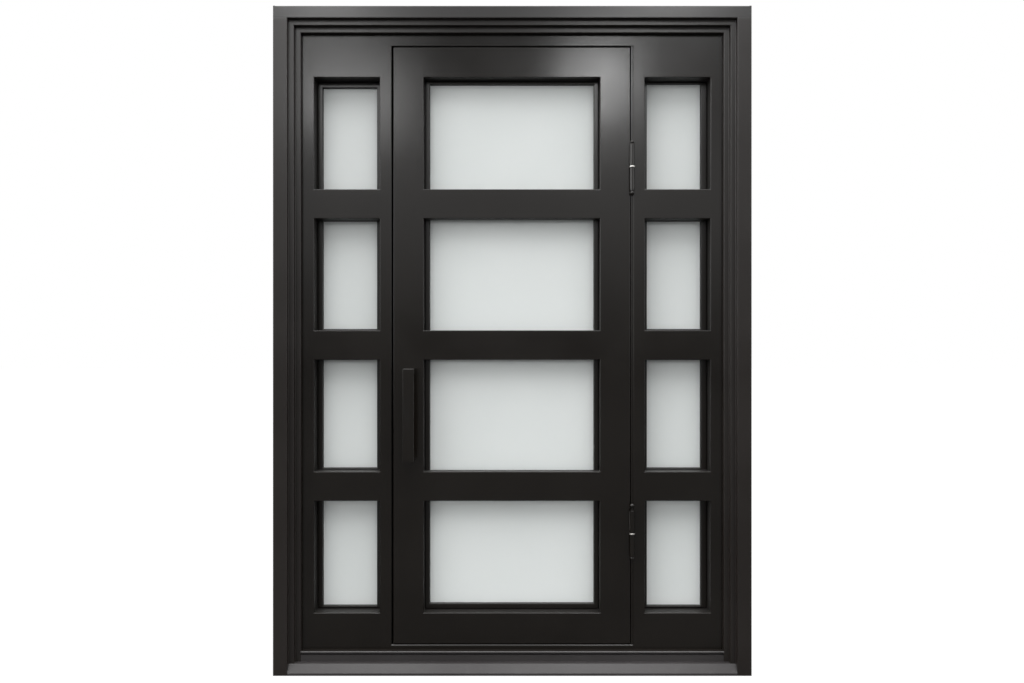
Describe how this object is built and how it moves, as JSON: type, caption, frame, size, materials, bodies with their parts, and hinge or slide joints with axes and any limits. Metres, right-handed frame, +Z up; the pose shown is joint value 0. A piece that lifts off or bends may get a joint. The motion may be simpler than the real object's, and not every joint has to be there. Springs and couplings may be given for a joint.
{
  "type": "wrought iron exterior door",
  "caption": "Black wrought iron entrance: a frosted glass leaf between matching fixed sidelights in a stepped frame with a low threshold. The leaf swings outwards on barrel hinges.",
  "frame": {"origin": "centre of the frame's underside, at floor level and at the middle of the frame's depth", "axes": "+X to the viewer's right, +Y into the building, away from the viewer, +Z up"},
  "size_m": [1.744, 0.194, 2.44],
  "materials": {
    "black_paint": "satin black paint with a fine texture",
    "frame_paint": "satin black paint, drier and a little paler than on the panels",
    "sash_paint": "satin black paint",
    "sill_paint": "satin black paint, a little worn on the nose",
    "hinge_paint": "satin black paint",
    "pull_paint": "satin black paint",
    "bearing_steel": "bare turned steel",
    "frosted_glass": "frosted, even and milky, with a faint green cast",
    "seal_rubber": "dull black weather seal",
    "glazing_sealant": "tooled black glazing sealant with a soft sheen"
  },
  "bodies": {
    "frame": {"door_head_rail": "black_paint", "door_sill_rail": "black_paint", "door_stop_ends": "black_paint", "door_stop_sides": "black_paint", "frame_head": "frame_paint", "hinge_jamb_liner": "black_paint", "jamb_left": "frame_paint", "jamb_right": "frame_paint", "left_sidelight_glass": "frosted_glass", "left_sidelight_inner_stile": "black_paint", "left_sidelight_outer_stile": "black_paint", "left_sidelight_rails": "black_paint", "left_sidelight_sash_bars": "sash_paint", "left_sidelight_sash_stiles": "sash_paint", "lower_hinge_frame_barrel": "hinge_paint", "lower_hinge_pin": "hinge_paint", "lower_hinge_washer": "bearing_steel", "right_sidelight_glass": "frosted_glass", "right_sidelight_inner_stile": "black_paint", "right_sidelight_outer_stile": "black_paint", "right_sidelight_rails": "black_paint", "right_sidelight_sash_bars": "sash_paint", "right_sidelight_sash_stiles": "sash_paint", "threshold": "sill_paint", "upper_hinge_frame_barrel": "hinge_paint", "upper_hinge_pin": "hinge_paint", "upper_hinge_washer": "bearing_steel"},
    "leaf": {"leaf_bottom_rail": "black_paint", "leaf_glass": "frosted_glass", "leaf_hinge_stile": "black_paint", "leaf_lock_stile": "black_paint", "leaf_mid_rails": "black_paint", "leaf_sash_bars": "sash_paint", "leaf_sash_stiles": "sash_paint", "leaf_top_rail": "black_paint", "lower_hinge_leaf_barrel": "hinge_paint", "pull_inside": "pull_paint", "pull_outside": "pull_paint", "upper_hinge_leaf_barrel": "hinge_paint"}
  },
  "joints": [
    {"name": "door_swing", "type": "hinge", "parent": "frame", "child": "leaf", "pos_m": [0.44325, -0.031, 0], "axis": [0, 0, 1], "range_deg": [0, 165]}
  ]
}
